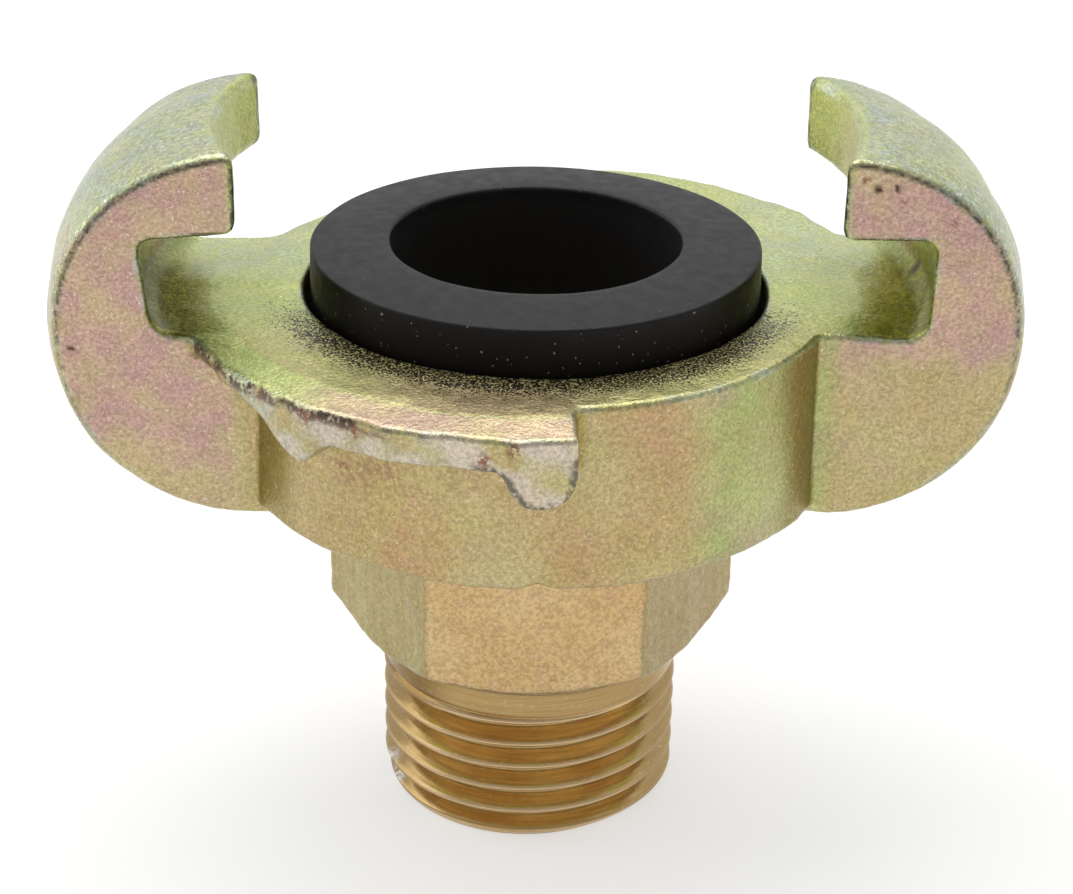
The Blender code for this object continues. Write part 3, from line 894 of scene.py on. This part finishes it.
def edge_line_and_shade_mask(skin):
    """Dark lines along the edges of the claws and their tips, and painted shade along the lug's rounded
    edges.
    """
    z, rho, beside, bend = skin.z, skin.rho, skin.beside, skin.bend
    turned = smooth_step((beside - 0.72) / 0.12) * smooth_step((0.98 - beside) / 0.04)
    edge_line_and_shade = turned * (bend > 0.3) * (np.abs(skin.across_claw) < 0.6) * (rho > 20.2)
    edge_line_and_shade = edge_line_and_shade * (0.2 + 0.8 * smooth_step((z - 28) / 10))
    edge_line_and_shade = edge_line_and_shade * ((z > HOOK_UNDERSIDE - 1) | (rho > SLOT_R_LEFT + 0.6))
    tip = (rho < TIP_R + 0.5) & (z > HOOK_UNDERSIDE - 0.5) & (skin.across_claw > -1)
    edge_line_and_shade = np.maximum(edge_line_and_shade, 0.9 * tip * smooth_step((bend - 0.6) / 0.4))
    # painted shade along the lug's rounded edges
    lug_edge_shade = (skin.ledge < 0.4) & (skin.along > 80) & (z < MATING_PLANE - 1.5) & (rho > 21)
    return np.maximum(edge_line_and_shade, 0.9 * lug_edge_shade * smooth_step((bend - 0.4) / 0.4))


def casting_masks(points, normals):
    """Where the cast skin is pinker, greener, darker, worn, stained or pitted, and where light, shade,
    highlights and glints are painted.
    """
    skin = Skin(points, normals)
    pink = pink_mask(skin)
    # a dark band on the rounding under the ledge's top edge: rusted marks that partly stand for a painted
    # dark reflection
    under_rim = smooth_step((skin.z - MATING_PLANE + 1.15) / 0.25) * (skin.z < MATING_PLANE - 0.25)
    dark_band_reach = smooth_step((76 - skin.along) / 12) * smooth_step((1.0 + 0.8 * skin.fine) / 0.5)
    worn_rim = np.clip(0.3 + 0.4 * skin.fine + 0.25 * (skin.along > 80), 0, 0.85)
    warm = np.clip(0.45 * spots(points, WARM) * (0.8 + 0.3 * skin.fine), 0, 1)
    return {"pink": pink,
            "gold": gold_mask(skin, pink),
            "olive": olive_mask(skin),
            "painted_light": painted_light_mask(skin),
            "pale": pale_and_highlight_mask(skin),
            "tint_and_shade_in_hollows": tint_and_shade_in_hollows_mask(skin),
            "edge_line_and_shade": edge_line_and_shade_mask(skin),
            "grime": skin.disc * smooth_step((19.9 - skin.rho) / 3.6) * smooth_step((-skin.y - 1) / 9),
            "rust_and_dark_reflection": skin.ledge_side * under_rim * dark_band_reach,
            "outer": skin.outer,
            "slot": skin.inner * skin.deep,
            "rim": skin.ledge_side * worn_rim * smooth_step((skin.along - 36) / 20),
            "painted_glints": painted_glints_mask(skin),
            "stain": np.maximum(spots(points, STAINS), warm),
            "pit": spots(points, PITS)}


def build_casting():
    """The cast skin's mesh, with the masks that its material reads."""
    low = [-CLAW_OUTER_R - 1.2, -LEDGE_R - 1.2, HEX_BOTTOM - 1.0]
    high = [CLAW_OUTER_R + 1.2, LEDGE_R + 1.2, HOOK_TOP + 1.2]
    points, faces = surface_nets(casting_field, low, high)
    points, normals = settle(casting_field, points)
    piece = make_piece("casting_skin", points, faces, normals)
    for name, values in casting_masks(points, normals).items():
        add_mask(piece, name, values)
    piece.data.materials.append(chromate_material())
    return piece


def build_spigot():
    """The threaded spigot's mesh, with its masks."""
    points, faces = spigot()
    piece = make_piece("threaded_spigot", points, faces)
    x, y, z = points.T
    rho = np.hypot(x, y)
    threaded = smooth_step((THREAD_TOP - 0.2 - z) / 0.4)
    # painted shade on the thread's left and right sides
    painted_side_shade = smooth_step((np.abs(x) - 6.0) / 3) * by_side(x, 1.0, 0.8)
    neck_left = smooth_step((-x - 5.0) / 3) * smooth_step((z - THREAD_TOP + 1.4) / 1.0) * (y < 0)
    add_mask(piece, "threaded", threaded)
    add_mask(piece, "side", threaded * painted_side_shade)
    add_mask(piece, "shadow", 0.75 * neck_left)
    add_mask(piece, "worn", spots(points, THREAD_WEAR))
    # thread crests: polished, partly a painted highlight
    add_mask(piece, "crest_polish_and_highlight", smooth_step((rho - THREAD_MAJOR_R + 0.22) / 0.14) * threaded)
    piece.data.materials.append(machined_material())
    return piece


def build_seal():
    """The rubber ring's mesh, with its masks."""
    points, faces = seal()
    piece = make_piece("rubber_ring", points, faces)
    rho = np.hypot(points[:, 0], points[:, 1])
    face = smooth_step((points[:, 2] - RING_TOP + 0.5) / 0.2)
    hole = smooth_step((RING_INNER_R + 0.3 - rho) / 0.2) * (1 - face)
    add_mask(piece, "face", face)
    add_mask(piece, "hole", hole)
    add_mask(piece, "dusty", 0.8 - 0.65 * face - 0.75 * hole)
    piece.data.materials.append(rubber_material())
    return piece


# ---------------------------------------------------------------------------------- camera and light

def add_light(name, place, target, size, power):
    """A white area light, aimed at a target."""
    data = bpy.data.lights.new(name, "AREA")
    data.shape = "RECTANGLE"
    data.size, data.size_y = size
    data.energy = power
    light = bpy.data.objects.new(name, data)
    light.location = place
    light.rotation_mode = "QUATERNION"
    light.rotation_quaternion = (Vector(target) - Vector(place)).to_track_quat("-Z", "Y")
    bpy.context.scene.collection.objects.link(light)


def build_studio():
    """A pale sweep: bright behind and to the sides, dimmer above the camera, on a white floor."""
    world = bpy.data.worlds.new("studio")
    world.use_nodes = True
    nodes, links = world.node_tree.nodes, world.node_tree.links
    direction = nodes.new("ShaderNodeSeparateXYZ")
    links.new(nodes.new("ShaderNodeTexCoord").outputs["Generated"], direction.inputs[0])
    toward_back = nodes.new("ShaderNodeMapRange")
    toward_back.interpolation_type = "SMOOTHSTEP"
    links.new(direction.outputs["Y"], toward_back.inputs["Value"])
    toward_back.inputs["From Min"].default_value = -0.4
    toward_back.inputs["From Max"].default_value = 0.4
    toward_back.inputs["To Min"].default_value = SKY_FRONT
    toward_back.inputs["To Max"].default_value = SKY_BACK
    backdrop = nodes["Background"]
    backdrop.inputs["Color"].default_value = (1.0, 1.0, 1.0, 1.0)
    links.new(toward_back.outputs["Result"], backdrop.inputs["Strength"])
    bpy.context.scene.world = world
    half = FLOOR_HALF
    corners = [(-half, -half, 0), (half, -half, 0), (half, half, 0), (-half, half, 0)]
    mesh = bpy.data.meshes.new("floor")
    mesh.from_pydata(corners, [], [(0, 1, 2, 3)])
    floor = bpy.data.objects.new("floor", mesh)
    bpy.context.scene.collection.objects.link(floor)
    s = Shading("floor_white")
    s.surface.inputs["Base Color"].default_value = (FLOOR_GREY, FLOOR_GREY, FLOOR_GREY, 1.0)
    s.surface.inputs["Roughness"].default_value = 0.9
    s.surface.inputs["Specular IOR Level"].default_value = 0.0
    s.surface.inputs["Emission Color"].default_value = (1.0, 1.0, 1.0, 1.0)
    s.surface.inputs["Emission Strength"].default_value = FLOOR_GLOW
    mesh.materials.append(s.material)
    for name, place, size, power in LIGHTS:
        add_light(name, place, LIGHTS_AIM, size, power)


def build_camera():
    """The viewing angle of the original: raised by 26 degrees, with the picture turned a little."""
    azimuth, elevation, roll = (math.radians(a) for a in (VIEW_AZIMUTH, VIEW_ELEVATION, VIEW_ROLL))
    back = Vector((math.sin(azimuth) * math.cos(elevation), -math.cos(azimuth) * math.cos(elevation),
                   math.sin(elevation)))
    right = Vector((0, 0, 1)).cross(back).normalized()
    up = back.cross(right)
    turned_right = math.cos(roll) * right + math.sin(roll) * up
    turned_up = -math.sin(roll) * right + math.cos(roll) * up
    data = bpy.data.cameras.new("camera")
    data.sensor_fit = "HORIZONTAL"
    data.sensor_width = 36.0
    data.lens = VIEW_LENS
    data.clip_start, data.clip_end = 0.005, 20.0
    camera = bpy.data.objects.new("camera", data)
    placed = Matrix((turned_right, turned_up, back)).transposed().to_4x4()
    placed.translation = (Vector(VIEW_TARGET) + back * VIEW_DISTANCE) * MM
    camera.matrix_world = placed
    bpy.context.scene.collection.objects.link(camera)
    bpy.context.scene.camera = camera


casting = build_casting()
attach(casting, "casting")
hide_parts("coupling_body")

thread = build_spigot()
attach(thread, "casting")
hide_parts("coupling_body")

ring = build_seal()
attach(ring, "casting")
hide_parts("sealing_ring")
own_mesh(ring)

build_studio()
build_camera()
bpy.context.scene.view_settings.view_transform = "Standard"
